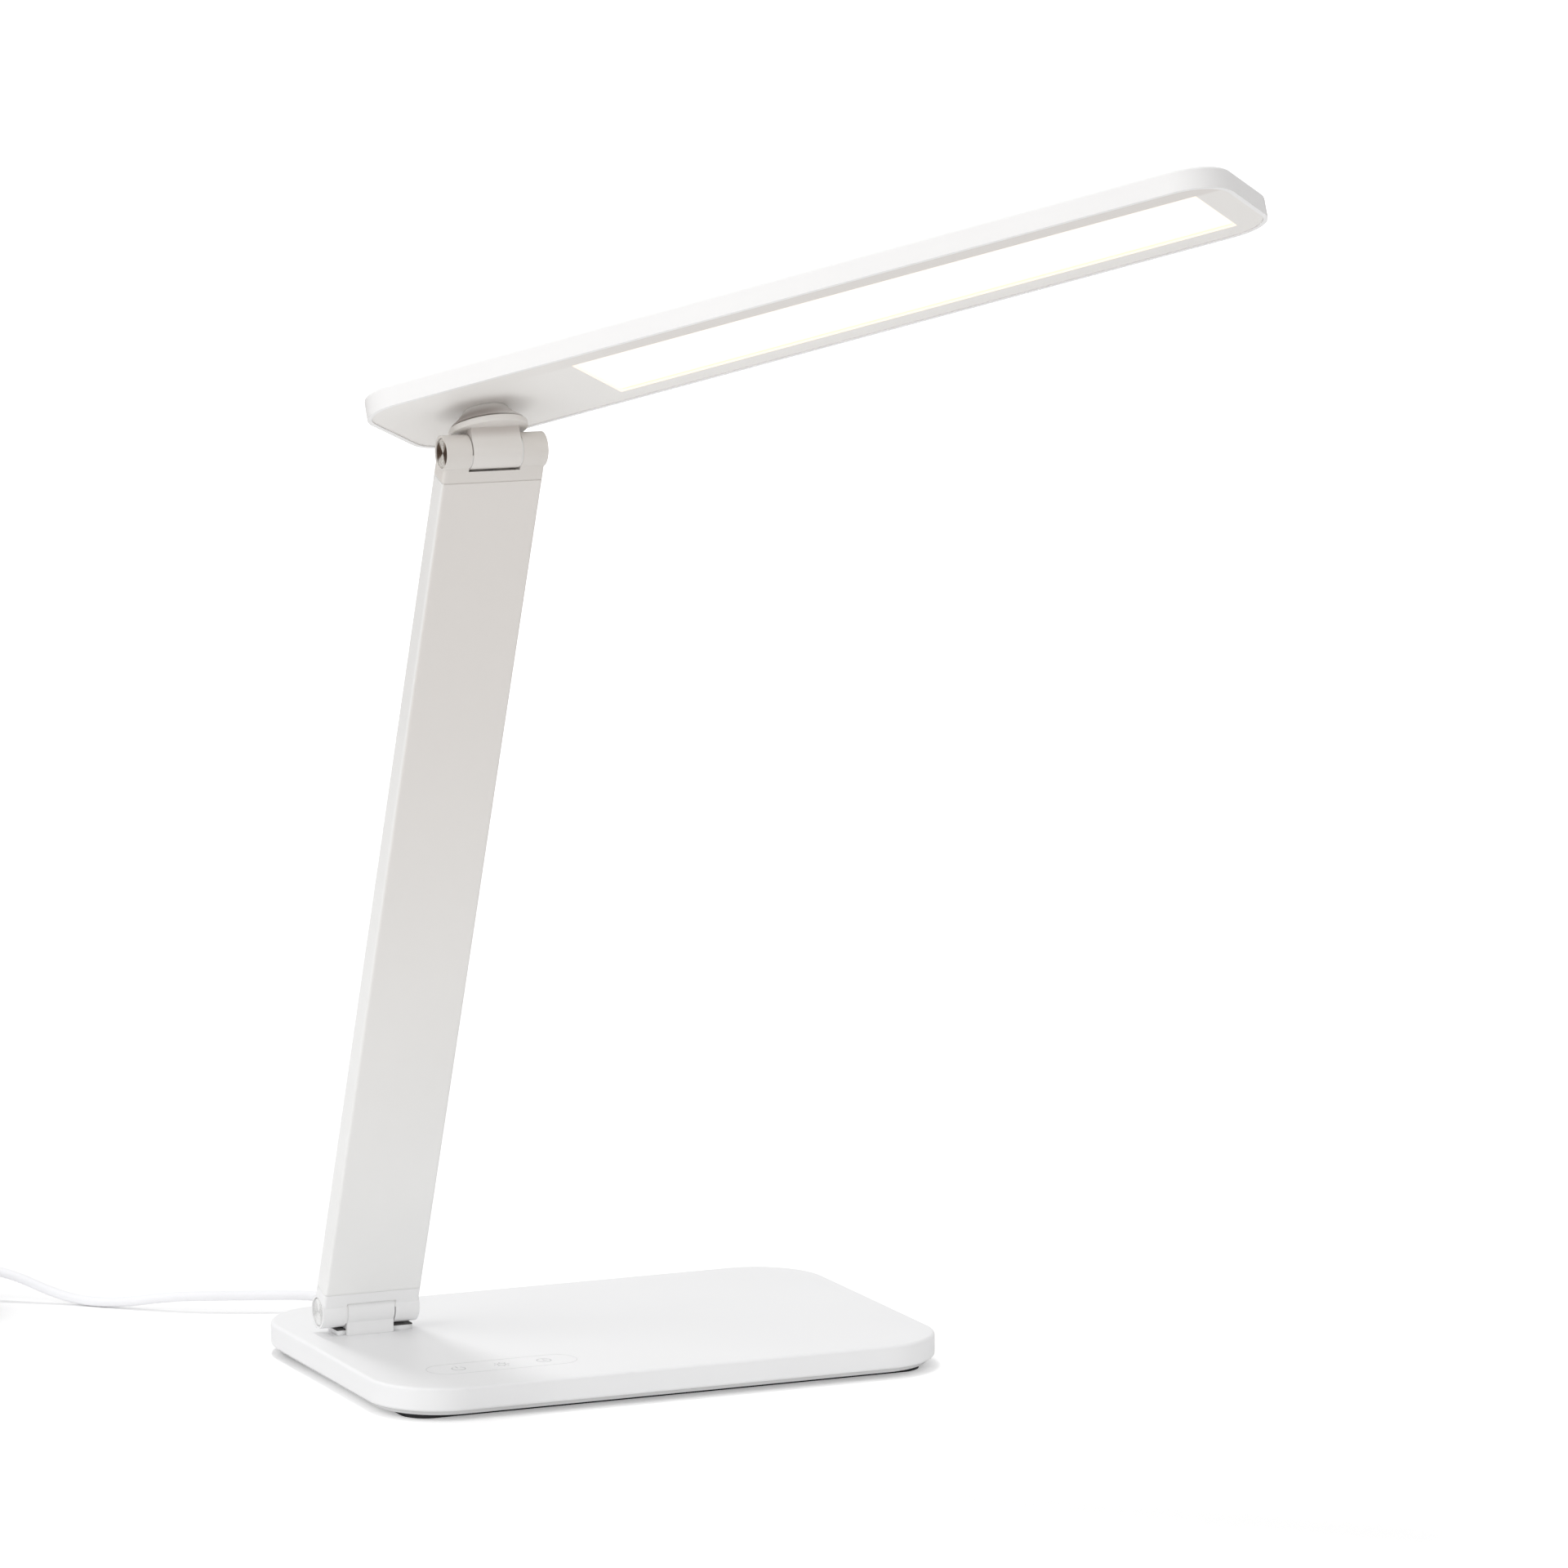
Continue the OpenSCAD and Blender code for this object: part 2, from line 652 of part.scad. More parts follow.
module at_top_hinge() { in_arm() translate([0, 0, arm_reach]) children(); }
module lower_pin() { in_arm() hinge_pin(); }
module upper_pin() { at_top_hinge() hinge_pin(); }
module lower_nut() { in_arm() hinge_nut(); }
module upper_nut() { at_top_hinge() hinge_nut(); }
module lower_washers() { in_arm() hinge_washers(); }
module upper_washers() { at_top_hinge() hinge_washers(); }

module arm_lead() {
    z0 = saddle_r + 1;
    steps = 10;
    color(dark) in_arm() tube_along([for (i = [0 : steps]) let (t = i / steps)
        [lead_sag * sin(540 * t) * sin(180 * t), 0, z0 + (arm_reach - 2 * z0) * t]], lead_r, 8, [0, 1, 0]);
}

// ---- neck ----

module swivel_neck() {
    stud_h = head_rise + stud_top;
    color(white) in_neck() difference() {
        union() {
            rod_x(barrel_r, -knuckle_x, knuckle_x);
            translate([-knuckle_x, -neck_front, 0])
                cube([knuckle_w, neck_front + neck_back, disc_z + over]);
            rotate_extrude() union() {
                translate([0, disc_z + disc_edge]) square([disc_r, disc_t - 2 * disc_edge]);
                translate([0, disc_z]) square([disc_r - disc_edge, disc_t]);
                for (z = [disc_z + disc_edge, disc_z + disc_t - disc_edge])
                    translate([disc_r - disc_edge, z]) circle(disc_edge);
            }
            cylinder(r = stud_r, h = stud_h);
        }
        rod_x(pin_r + pin_play, -knuckle_x - over, knuckle_x + over);
        // way of the lead
        translate([0, 0, pin_r + 2 * over]) cylinder(r = stud_bore, h = stud_h);
    }
}

module swivel_washers() {
    z = [disc_z + disc_t, head_rise + frame_top + swivel_play];
    color(steel) in_neck() for (i = [0, 1]) translate([0, 0, z[i]]) difference() {
        cylinder(r = swivel_washer_r[i], h = swivel_washer_t);
        translate([0, 0, -over]) cylinder(r = stud_r + stud_slip, h = 2 * over + swivel_washer_t);
    }
}

module swivel_nut() {
    color(steel) in_neck() difference() {
        translate([0, 0, head_rise + frame_top + swivel_play + swivel_washer_t])
            cylinder(r = swivel_nut_r, h = swivel_nut_t, $fn = 6);
        cylinder(r = stud_r + pin_play, h = 2 * head_rise);
    }
}

// ---- head ----

module at_head_middle() { in_head() translate([head_l / 2 - head_back, 0, 0]) children(); }
module at_panel() { in_head() translate([panel_x, 0, 0]) children(); }

module head_shell() {
    color(white) at_head_middle() difference() {
        tray_block(head_l, head_w, head_t, head_corner, head_edge);
        translate([0, 0, -over]) tray_block(head_l - 2 * shell_t, head_w - 2 * shell_t,
            head_t - head_roof + over, head_corner - shell_t, inner_edge);
    }
}

module head_frame() {
    inset = shell_t + frame_gap;
    clip_step = (head_l - 2 * clip_end) / (clip_n - 1);
    color(white) difference() {
        union() {
            at_head_middle() round_plate(head_l - 2 * inset, head_w - 2 * inset, head_corner - inset,
                frame_z, frame_t);
            in_head() translate([0, 0, -boss_h]) cylinder(r = boss_r, h = boss_h + frame_z + over);
            // snap clips along both long sides
            at_head_middle() for (i = [0 : clip_n - 1], s = [-1, 1])
                translate([clip_end - head_l / 2 + i * clip_step - clip[0] / 2,
                    s * (head_w / 2 - inset - clip[1] / 2) - clip[1] / 2, frame_z])
                    cube([clip[0], clip[1], frame_t + clip[2]]);
        }
        at_panel() round_plate(panel_l, panel_w, panel_corner, frame_z - over, frame_t + 2 * over);
        in_head() translate([0, 0, -boss_h - over]) cylinder(r = stud_r + stud_play, h = boss_h + head_t);
    }
}

module diffuser() {
    color([0.98, 0.96, 0.9]) at_panel() {
        round_plate(panel_l - 2 * slip, panel_w - 2 * slip, panel_corner - slip,
            frame_z + panel_inset, frame_t - panel_inset + diffuser_t / 2);
        round_plate(panel_l + 2 * flange_side, panel_w + 2 * flange_side, panel_corner, frame_top,
            diffuser_t);
    }
}

module light_guide() {
    color([0.9, 0.95, 0.97]) at_panel() round_plate(guide_l, guide_w, 1, guide_z, guide_t);
}

module reflector() {
    color(white) at_panel() round_plate(guide_l, guide_w, 1, guide_z + guide_t, reflector_t);
}

module heat_spreader() {
    z0 = guide_z + guide_t + reflector_t;
    top = head_t - head_roof;
    out = strip_y + strip_t;
    color(steel) at_panel() {
        translate([-spreader_l / 2, -out - spreader_leg, z0])
            cube([spreader_l, 2 * (out + spreader_leg), top - z0]);
        for (s = [0, 1]) mirror([0, s, 0]) translate([-spreader_l / 2, out, guide_z + spreader_gap])
            cube([spreader_l, spreader_leg, top - guide_z - spreader_gap]);
    }
}

module led_strips() {
    color([0.95, 0.95, 0.9]) at_panel() for (s = [0, 1]) mirror([0, s, 0])
        translate([-strip_l / 2, strip_y, guide_z]) cube([strip_l, strip_t, guide_t]);
}

module leds() {
    pitch = strip_l / led_n;
    color([0.98, 0.9, 0.4]) at_panel() for (i = [0 : led_n - 1], s = [0, 1]) mirror([0, s, 0])
        translate([-strip_l / 2 + (i + 0.5) * pitch - led_size[0] / 2, strip_y - led_size[1],
            guide_z + (guide_t - led_size[2]) / 2])
            cube(led_size);
}

module head_leads() {
    start = panel_x - strip_l / 2;
    z = guide_z + guide_t / 2;
    y = strip_y + strip_t / 2;
    color(dark) in_head() for (s = [0, 1]) mirror([0, s, 0])
        tube_along([[1, 1, 4.6], [6, 3, 4.6], [12, 8, 4.6], [18, 14, 4.4], [24, 19, 3.8], [29, y - 0.3, z],
            [start, y, z]], head_lead_r, 6, [0, 0, 1]);
}

base_shell();
base_plate();
anti_slip_pad();
ballast_plate();
base_screws();
control_board();
board_screws();
touch_springs();
hinge_bracket();
bracket_screws();
supply_lead();
strain_relief();
cord();
cord_coil();
cord_tie();
cord_tail();
plug_body();
plug_shell();
arm_tube();
lower_end();
upper_end();
lower_pin();
upper_pin();
lower_nut();
upper_nut();
lower_washers();
upper_washers();
arm_lead();
swivel_neck();
swivel_washers();
swivel_nut();
head_shell();
head_frame();
diffuser();
light_guide();
reflector();
heat_spreader();
led_strips();
leds();
head_leads();
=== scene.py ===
import json

import bpy
import numpy as np
from mathutils import Matrix, Vector


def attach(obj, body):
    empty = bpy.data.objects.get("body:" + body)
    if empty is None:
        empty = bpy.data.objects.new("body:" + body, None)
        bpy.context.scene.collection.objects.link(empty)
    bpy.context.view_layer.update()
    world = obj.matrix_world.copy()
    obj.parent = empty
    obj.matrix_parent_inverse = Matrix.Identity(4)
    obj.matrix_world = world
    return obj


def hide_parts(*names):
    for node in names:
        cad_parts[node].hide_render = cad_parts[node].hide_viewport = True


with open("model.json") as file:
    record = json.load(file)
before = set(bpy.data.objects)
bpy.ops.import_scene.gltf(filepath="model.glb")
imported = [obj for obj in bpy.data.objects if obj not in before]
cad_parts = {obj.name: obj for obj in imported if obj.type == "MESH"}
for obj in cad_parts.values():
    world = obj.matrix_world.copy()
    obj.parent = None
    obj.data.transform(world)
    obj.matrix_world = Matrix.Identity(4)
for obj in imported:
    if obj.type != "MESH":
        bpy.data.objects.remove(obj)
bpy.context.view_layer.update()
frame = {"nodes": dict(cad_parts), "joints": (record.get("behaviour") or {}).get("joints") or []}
nodes = frame["nodes"]

# ---- Camera ----
# A long lens that looks down on the lamp from its front left, rolled by a seventh of a degree.
camera_at = (-0.926127, -2.195956, 0.538956)
bearing, dip, roll = np.radians([24.1636, 8.7217, 0.1327])
ahead = np.array([np.sin(bearing) * np.cos(dip), np.cos(bearing) * np.cos(dip), -np.sin(dip)])
level = np.array([np.cos(bearing), -np.sin(bearing), 0.0])
above = np.cross(level, ahead)
across_frame = level * np.cos(roll) + above * np.sin(roll)
up_frame = above * np.cos(roll) - level * np.sin(roll)
lens = bpy.data.cameras.new("camera")
lens.lens, lens.sensor_width = 187.5, 36.0
lens.clip_start, lens.clip_end = 0.1, 100.0
camera = bpy.data.objects.new("camera", lens)
bpy.context.collection.objects.link(camera)
facing = Matrix((across_frame, up_frame, -ahead)).transposed().to_4x4()
camera.matrix_world = Matrix.Translation(camera_at) @ facing
bpy.context.scene.camera = camera
bpy.context.scene.view_settings.view_transform = "Standard"


# ---- Table and studio ----
# A plain white table under a white sky, with four soft lamps: a large one on the left, a low one in
# front, a weak one behind and a small one overhead. Both the table and the sky show as plain white,
# and the table keeps the shadow.
class Link:
    """One output of a shader node. Arithmetic between links and numbers adds Math nodes."""

    def __init__(self, graph, socket):
        self.graph, self.socket = graph, socket

    def math(self, operation, *others):
        return self.graph.node("Math", [self, *others], operation=operation)

    def __add__(self, other):
        return self.math("ADD", other)

    def __sub__(self, other):
        return self.math("SUBTRACT", other)

    def __rsub__(self, other):
        return self.graph.node("Math", [other, self], operation="SUBTRACT")

    def __mul__(self, other):
        return self.math("MULTIPLY", other)

    def __truediv__(self, other):
        return self.math("DIVIDE", other)

    def above(self, low, high):
        """0 below low, 1 above high and a smooth step between them; high < low turns it round."""
        return self.graph.node(
            "MapRange", [self, low, high, 0.0, 1.0], interpolation_type="SMOOTHSTEP")

    __radd__, __rmul__ = __add__, __mul__


class Graph:
    """A node tree being written: node() adds any node, its settings first and then its sockets."""

    def __init__(self, owner):
        owner.use_nodes = True
        self.tree = owner.node_tree
        self.tree.nodes.clear()

    def node(self, kind, inputs=(), output=0, **settings):
        made = self.tree.nodes.new("ShaderNode" + kind)
        for name, value in settings.items():
            setattr(made, name, value)
        for key, value in (inputs.items() if isinstance(inputs, dict) else enumerate(inputs)):
            if isinstance(value, Link):
                self.tree.links.new(value.socket, made.inputs[key])
            else:
                made.inputs[key].default_value = value
        return Link(self, made.outputs[output]) if made.outputs else None

    def place(self):
        """The point on the object, in metres."""
        return self.node("TexCoord", output="Object")

    def noise(self, scale, detail=2.0):
        """A cloud of numbers round 0.5 with scale waves to a metre."""
        return self.node(
            "TexNoise", {"Vector": self.place(), "Scale": scale, "Detail": detail}, output="Fac")

    def blend(self, share, first, second):
        """Mixes two colours by share."""
        made = self.node("Mix", {"Factor": share}, data_type="RGBA").socket.node
        for key, value in ((6, first), (7, second)):
            if isinstance(value, Link):
                self.tree.links.new(value.socket, made.inputs[key])
            else:
                made.inputs[key].default_value = (*value, 1.0)
        return Link(self, made.outputs[2])

    def skin(self, **sockets):
        """Ends the tree with a principled surface; a name's underscores stand for spaces."""
        sockets = {name.replace("_", " "): value for name, value in sockets.items()}
        self.node("OutputMaterial", [self.node("BsdfPrincipled", sockets)])


def finish_of(name):
    """A new material and the graph that holds its nodes."""
    material = bpy.data.materials.new(name)
    return material, Graph(material)


def mesh_of(name, points, faces, material, smooth=True):
    """A mesh object from arrays of points and of faces, each face a row of point numbers."""
    mesh = bpy.data.meshes.new(name)
    mesh.from_pydata(np.asarray(points).tolist(), [], [list(map(int, f)) for f in faces])
    mesh.materials.append(material)
    mesh.polygons.foreach_set("use_smooth", np.full(len(mesh.polygons), smooth))
    mesh.update()
    made = bpy.data.objects.new(name, mesh)
    bpy.context.collection.objects.link(made)
    return made


# What the lamp's own light meets is a white sheet that ends in a brown floor. What the eye meets is
# the sheet lifted to white, but for a round patch by the cord where only the lamps light it.
table_half = 15
sheet_white, floor_brown, sheet_end = (0.93, 0.93, 0.93), (0.2, 0.14, 0.1), (0.95, 1.25)
patch_at, patch_end = (-0.14, 0.12, 0), (0.07, 0.14)
patch_white, lifted_white = (1.07, 1.07, 1.07), (0.9, 0.9, 0.9)
table_finish, g = finish_of("white_table")
away = g.node("VectorMath", [g.place()], output="Value", operation="LENGTH")
outside = g.node("VectorMath", [g.place(), patch_at], output="Value", operation="DISTANCE")
outside = outside.above(*patch_end)
paper = g.node("BsdfDiffuse", {"Color": g.blend(away.above(*sheet_end), sheet_white, floor_brown)})
lit = g.node("BsdfDiffuse", {"Color": g.blend(outside, patch_white, lifted_white)})
glow = g.node("Emission", {"Strength": away.above(0.4, 1.6) * 0.7 + outside * 0.3})
shown = g.node("AddShader", [lit, glow])
seen = g.node("LightPath", output="Is Camera Ray")
g.node("OutputMaterial", [g.node("MixShader", [seen, paper, shown])])
corners = [(-table_half, -table_half, 0), (table_half, -table_half, 0),
           (table_half, table_half, 0), (-table_half, table_half, 0)]
table = mesh_of("table", corners, [(0, 1, 2, 3)], table_finish)

sky_light, sky_shown = 0.61, 1.0
sky = bpy.data.worlds.new("sky")
bpy.context.scene.world = sky
g = Graph(sky)
direct = g.node("LightPath", output="Is Camera Ray")
for ray in ("Is Glossy Ray", "Is Transmission Ray"):
    direct = direct.math("MAXIMUM", g.node("LightPath", output=ray))
strength = direct * (sky_shown - sky_light) + sky_light
g.node("OutputWorld", [g.node("Background", {"Color": (1, 1, 1, 1), "Strength": strength})])


def soft_lamp(name, at, aim, size, watts):
    """A square area lamp of that size at a place, facing the point aim."""
    light = bpy.data.lights.new(name, "AREA")
    light.size, light.energy = size, watts
    lamp = bpy.data.objects.new(name, light)
    bpy.context.collection.objects.link(lamp)
    lamp.location = at
    lamp.rotation_euler = (Vector(aim) - Vector(at)).to_track_quat("-Z", "Y").to_euler()
    lamp.visible_glossy = False


stand_middle = (0, 0, 0.15)
soft_lamp("left_lamp", (-2.2, -0.3, 1.6), stand_middle, 1.8, 18.5)
soft_lamp("front_lamp", (-1.0, -2.4, 0.45), stand_middle, 0.8, 8.5)
soft_lamp("back_lamp", (0.3, 2.6, 1.4), stand_middle, 1.8, 2.5)
soft_lamp("top_lamp", (-0.15, 0.3, 2.4), (0, 0, 0), 0.3, 12)


# ---- Base shell ----
# One white ABS moulding with a fine spark-eroded grain, round corners and a round top edge. The
# roof is plain but for the slot of the hinge.
def moulded(name, colour, roughness, grain, relief, edge=0.0002, shade=0.03, stain=None):
    """A moulded or painted skin: colour with a faint cloud of shade, a fine grain in relief (m) at
    grain (m) from point to point, and edges that catch the light over edge (m). stain is a function
    of the graph that returns the share and the colour of a stain over it."""
    material, g = finish_of(name)
    fine = g.noise(1 / grain, 3.0)
    soft_edge = g.node("Bevel", {"Radius": edge}, samples=4)
    colour = g.blend(g.noise(22.0).above(0.3, 0.7), tuple(c * (1 - shade) for c in colour), colour)
    if stain:
        share, tint = stain(g)
        colour = g.blend(share, colour, tint)
    g.skin(Base_Color=colour, Roughness=fine * 0.1 + (roughness - 0.05), IOR=1.46, Normal=g.node(
        "Bump", {"Height": fine, "Distance": relief, "Strength": 1.0, "Normal": soft_edge}))
    return material


def dress(material, *names):
    """Gives CAD nodes their finished material."""
    for name in names:
        nodes[name].data.materials[0] = material


base_white = moulded("base_white", (0.885, 0.885, 0.89), 0.42, 0.00035, 0.000012, 0.0001, 0.012)
dress(base_white, "base_shell")


# ---- Touch board ----
# A small green circuit board under the roof with its parts on the underside, three contact
# springs up to the roof, and the two-wire lead that brings the supply from the cord.
def bare_metal(name, dull, bright, roughness, spread, scale=600.0):
    """A metal skin with a cloud: its colour goes from dull to bright and its roughness rises."""
    material, g = finish_of(name)
    cloud = g.noise(scale, 4.0)
    g.skin(Base_Color=g.blend(cloud.above(0.35, 0.65), dull, bright), Metallic=1.0,
           Roughness=cloud * spread + roughness,
           Normal=g.node("Bump", {"Height": cloud, "Distance": 0.00001, "Strength": 1.0}))
    return material


board_underside, resist_green, part_black = (0.00479, 0.0047), (0.02, 0.11, 0.05), (0.03,) * 3
board, g = finish_of("circuit_board")
part = g.node("SeparateXYZ", [g.place()], output="Z").above(*board_underside)
track = g.node(
    "TexBrick", {"Vector": g.place(), "Scale": 420.0, "Mortar Size": 0.03}, output="Fac")
g.skin(Base_Color=g.blend(part, resist_green, part_black), Roughness=track * 0.2 + 0.35)
dress(board, "control_board")
dress(bare_metal("spring_wire", (0.5, 0.49, 0.46), (0.7, 0.68, 0.64), 0.2, 0.2), "touch_springs")
lead_vinyl = moulded("lead_vinyl", (0.05, 0.05, 0.05), 0.5, 0.0005, 0.00001)
dress(lead_vinyl, "supply_lead")


# ---- Cord ----
# A round 3 mm USB lead in soft white vinyl. It comes out of the strain relief, dips to the
# table and climbs onto its own coil, wound in four layers for storage.
def carried(points, profile, up=(0, 0, 1), loop=False):
    """A profile (m by 2) carried along points (n by 3) as a grid (n by m by 3): at each point p the
    tangent t is the difference of its neighbours, s = t x up, u = s x t, and the profile's point
    (a, b) goes to p + a s + b u."""
    points = np.asarray(points, float)
    ahead = np.roll(points, -1, 0) - np.roll(points, 1, 0) if loop else np.gradient(points, axis=0)
    ahead /= np.linalg.norm(ahead, axis=1, keepdims=True)
    side = np.cross(ahead, up)
    side /= np.linalg.norm(side, axis=1, keepdims=True)
    rise = np.cross(side, ahead)
    profile = np.broadcast_to(profile, (len(points), *np.shape(profile)[-2:]))
    return points[:, None] + profile[..., :1] * side[:, None] + profile[..., 1:] * rise[:, None]


def skin_of(name, grids, material, loop=False, smooth=True):
    """One mesh over grids (n by m by 3) that close round m: face (i, k) joins rows i and i + 1 and
    columns k and k + 1. A grid has a face at each end, or closes round n as well for a loop."""
    points, faces, first = [], [], 0
    for grid in grids:
        n, m = grid.shape[:2]
        i, k = np.arange(n if loop else n - 1)[:, None], np.arange(m)[None]
        far, turn = (i + 1) % n, (k + 1) % m
        quads = np.stack(
            np.broadcast_arrays(i * m + k, i * m + turn, far * m + turn, far * m + k), -1)
        faces += (quads.reshape(-1, 4) + first).tolist()
        if not loop:
            cap = first + np.arange(m)
            faces += [cap[::-1].tolist(), (cap + (n - 1) * m).tolist()]
        points.append(grid.reshape(-1, 3))
        first += n * m
    return mesh_of(name, np.concatenate(points), faces, material, smooth)


def fitted(piece, body):
    """Gives a new piece the body that it moves with."""
    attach(piece, body)


def ring_of(radius, count):
    """count points on a circle: (r cos a, r sin a)."""
    turn = np.linspace(0, 2 * np.pi, count, endpoint=False)
    return radius * np.stack([np.cos(turn), np.sin(turn)], -1)


def smooth_path(points, each):
    """A Catmull-Rom curve through the points, with each new points on every stretch."""
    p = np.concatenate([[2 * points[0] - points[1]], points, [2 * points[-1] - points[-2]]])
    t = np.arange(each)[None, :, None] / each
    a, b, c, d = (p[k:len(p) - 3 + k, None] for k in range(4))
    curve = (b + t * (c - a) / 2 + t**2 * (2 * a - 5 * b + 4 * c - d) / 2
             + t**3 * (3 * b - a - 3 * c + d) / 2)
    return np.concatenate([curve.reshape(-1, 3), points[-1:]])


cord_r = 0.0015
route = 0.001 * np.array([
    [-52, 80, 5.4], [-52, 82, 5.4], [-53, 85.5, 5.5], [-56, 90.5, 5.6], [-61, 94.5, 5.6],
    [-68, 98, 5.5], [-75.5, 101.3, 5.4], [-82, 104.2, 5.3], [-88, 107.3, 5.1],
    [-93.5, 110.8, 4.7], [-98.5, 114.4, 4], [-103.5, 118.4, 2.9], [-108, 122.2, 2.1],
    [-112.5, 126.2, 1.6], [-117.5, 130.8, 1.7], [-122.5, 134.9, 2.8], [-127.5, 138.9, 4.7],
    [-132.8, 142.9, 7.2], [-138.7, 147.2, 9.2], [-146, 151.9, 10.3], [-154.5, 156.1, 10.5],
    [-163.7, 158.8, 10.5]])
coil_at, coil_r = np.array([-0.169, 0.139]), np.array([0.0105, 0.0205])
layers, coil_from = 4, np.radians(75.0)
tail = 0.001 * np.array([[-189.5, 139, 1.5], [-189.5, 131, 1.7], [-189.5, 124.5, 3.1],
                         [-189.5, 120.5, 3.8], [-189.5, 118, 3.8]])


def wound():
    """The coil's line: each layer is a flat spiral between the inner and the outer radius, three
    turns in, three out, three in, and two and a bit out; the height steps down near each change."""
    turns = np.array([0, 3, 6, 9, 11 + 105 / 360])
    t = np.linspace(0, turns[-1], int(turns[-1] * 36))
    r = np.interp(t, turns, coil_r[[1, 0, 1, 0, 1]])
    step = np.clip((t[:, None] - turns[1:-1]) / 0.2 + 0.5, 0, 1)
    z = (layers - (step**2 * (3 - 2 * step)).sum(1)) * 2 * cord_r - cord_r
    a = coil_from + 2 * np.pi * t
    return np.stack([coil_at[0] + r * np.cos(a), coil_at[1] + r * np.sin(a), z], -1)


cord_path = np.concatenate([smooth_path(route, 2)[:-1], wound(), smooth_path(tail, 3)[1:]])
vinyl = moulded("cord_vinyl", (0.94, 0.94, 0.96), 0.38, 0.0006, 0.00001, edge=0.0001)
cord = skin_of("usb_cord", [carried(cord_path, ring_of(cord_r, 16))], vinyl)
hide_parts("cord", "cord_coil", "cord_tail")
fitted(cord, "base")


# ---- Coil tie ----
# A reusable strap of black woven nylon round one side of the coil, its end lapped over itself.
def rounded(width, height, corner, steps):
    """Points of a rectangle with round corners: a quarter circle of steps points at each corner."""
    turn = np.linspace(0, np.pi / 2, steps)
    quarter = np.stack([np.cos(turn), np.sin(turn)], -1) * corner
    inner = np.array([width / 2 - corner, height / 2 - corner])
    spin = [np.array([[0, 1], [-1, 0]]), -np.eye(2), np.array([[0, -1], [1, 0]])]
    sides = [inner + quarter] + [
        (quarter @ m) + inner * sign for m, sign in zip(spin, ([-1, 1], [-1, -1], [1, -1]))]
    return np.concatenate(sides)


strap_thick, strap_wide, strap_mid = 0.0006, 0.006, 0.00645
tie_turn = np.radians(-60.0)
outward = np.array([np.cos(tie_turn), np.sin(tie_turn), 0.0])
loop = rounded(0.0136, 0.0123, 0.0022, 8)
strap_line = (np.array([*coil_at, 0.0]) + (coil_r.mean() + loop[:, :1]) * outward
              + np.array([0, 0, 1]) * (loop[:, 1:] + strap_mid))
woven, g = finish_of("woven_nylon")
rib = g.node("TexWave", {"Vector": g.place(), "Scale": 900.0, "Distortion": 0.4},
             bands_direction="DIAGONAL", output="Fac")
g.skin(Base_Color=g.blend(rib, (0.015, 0.015, 0.017), (0.05, 0.05, 0.055)),
       Roughness=rib * 0.2 + 0.6,
       Normal=g.node("Bump", {"Height": rib, "Distance": 0.00008, "Strength": 1.0}))
strap = carried(strap_line, rounded(strap_thick, strap_wide, 0.00025, 4),
                (-outward[1], outward[0], 0.0), loop=True)
tie = skin_of("coil_tie", [strap], woven, loop=True)
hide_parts("cord_tie")
fitted(tie, "base")

# ---- USB plug ----
# A type A plug: a folded nickel-plated shell in an overmoulded white body, whose ribbed neck
# keeps the cord from bending where it goes in.
plug_at = np.array([-0.1895, 0.118, 0.0038])
neck_end, groove_deep = 0.009, 0.0003
body_along = 0.001 * np.array([9, 9.3, 9.9, 11, 12.5, 31.5, 32.4, 32.8, 33])
body_half_wide = 0.001 * np.array([3, 4.7, 6.1, 6.9, 7.2, 7.2, 7, 6.7, 6.2])
body_half_thick = 0.001 * np.array([2.8, 3.2, 3.5, 3.7, 3.8, 3.8, 3.6, 3.4, 3])


def plug_grid():
    """Sections |x/a|^p + |y/b|^p = 1 along the plug. a, b and p go from a thin round neck with
    three wide grooves to the flat body over a round shoulder."""
    s = np.array([0, 0.4, 1.4, 1.6, 2.2, 2.4, 3.4, 3.6, 4.2, 4.4, 5.4, 5.6, 6.2, 6.4, 8.4, 9.0, 9.3,
                  9.9, 11, 12.5, 31.5, 32.4, 32.8, 33]) * 0.001
    grooves = np.isin((s * 1e4).round(), [16, 22, 36, 42, 56, 62])
    neck = np.interp(s, [0, neck_end], [0.00185, 0.0027]) - groove_deep * grooves
    a = np.where(s <= neck_end, neck, np.interp(s, body_along, body_half_wide))
    b = np.where(s <= neck_end, neck, np.interp(s, body_along, body_half_thick))
    p = np.interp(s, [0.0088, 0.011], [2.0, 4.5])
    turn = np.linspace(0, 2 * np.pi, 48, endpoint=False)
    c, d = np.cos(turn), np.sin(turn)
    x = a[:, None] * np.sign(c) * np.abs(c) ** (2 / p[:, None])
    z = b[:, None] * np.sign(d) * np.abs(d) ** (2 / p[:, None])
    y = np.broadcast_to(-s[:, None], x.shape)
    return plug_at + np.stack([x, y, z], -1)


plug_vinyl = moulded("plug_vinyl", (0.86, 0.86, 0.88), 0.42, 0.0005, 0.00001)
plug = skin_of("plug_moulding", [plug_grid()], plug_vinyl)
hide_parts("plug_body")
fitted(plug, "base")
plating, g = finish_of("nickel_plating")
scuff = g.noise(900.0, 4.0)
g.skin(Base_Color=g.blend(scuff, (0.55, 0.54, 0.52), (0.72, 0.71, 0.69)), Metallic=1.0,
       Roughness=scuff * 0.2 + 0.22, Normal=g.node("Bevel", {"Radius": 0.0002}, samples=4))
dress(plating, "plug_shell")

# ---- Strain relief ----
# A tapered sleeve of soft white vinyl moulded onto the cord, with grooves that let it bend, held in
# the back wall by a flange inside.
dress(moulded("relief_vinyl", (0.88, 0.88, 0.90), 0.45, 0.0005, 0.00001), "strain_relief")

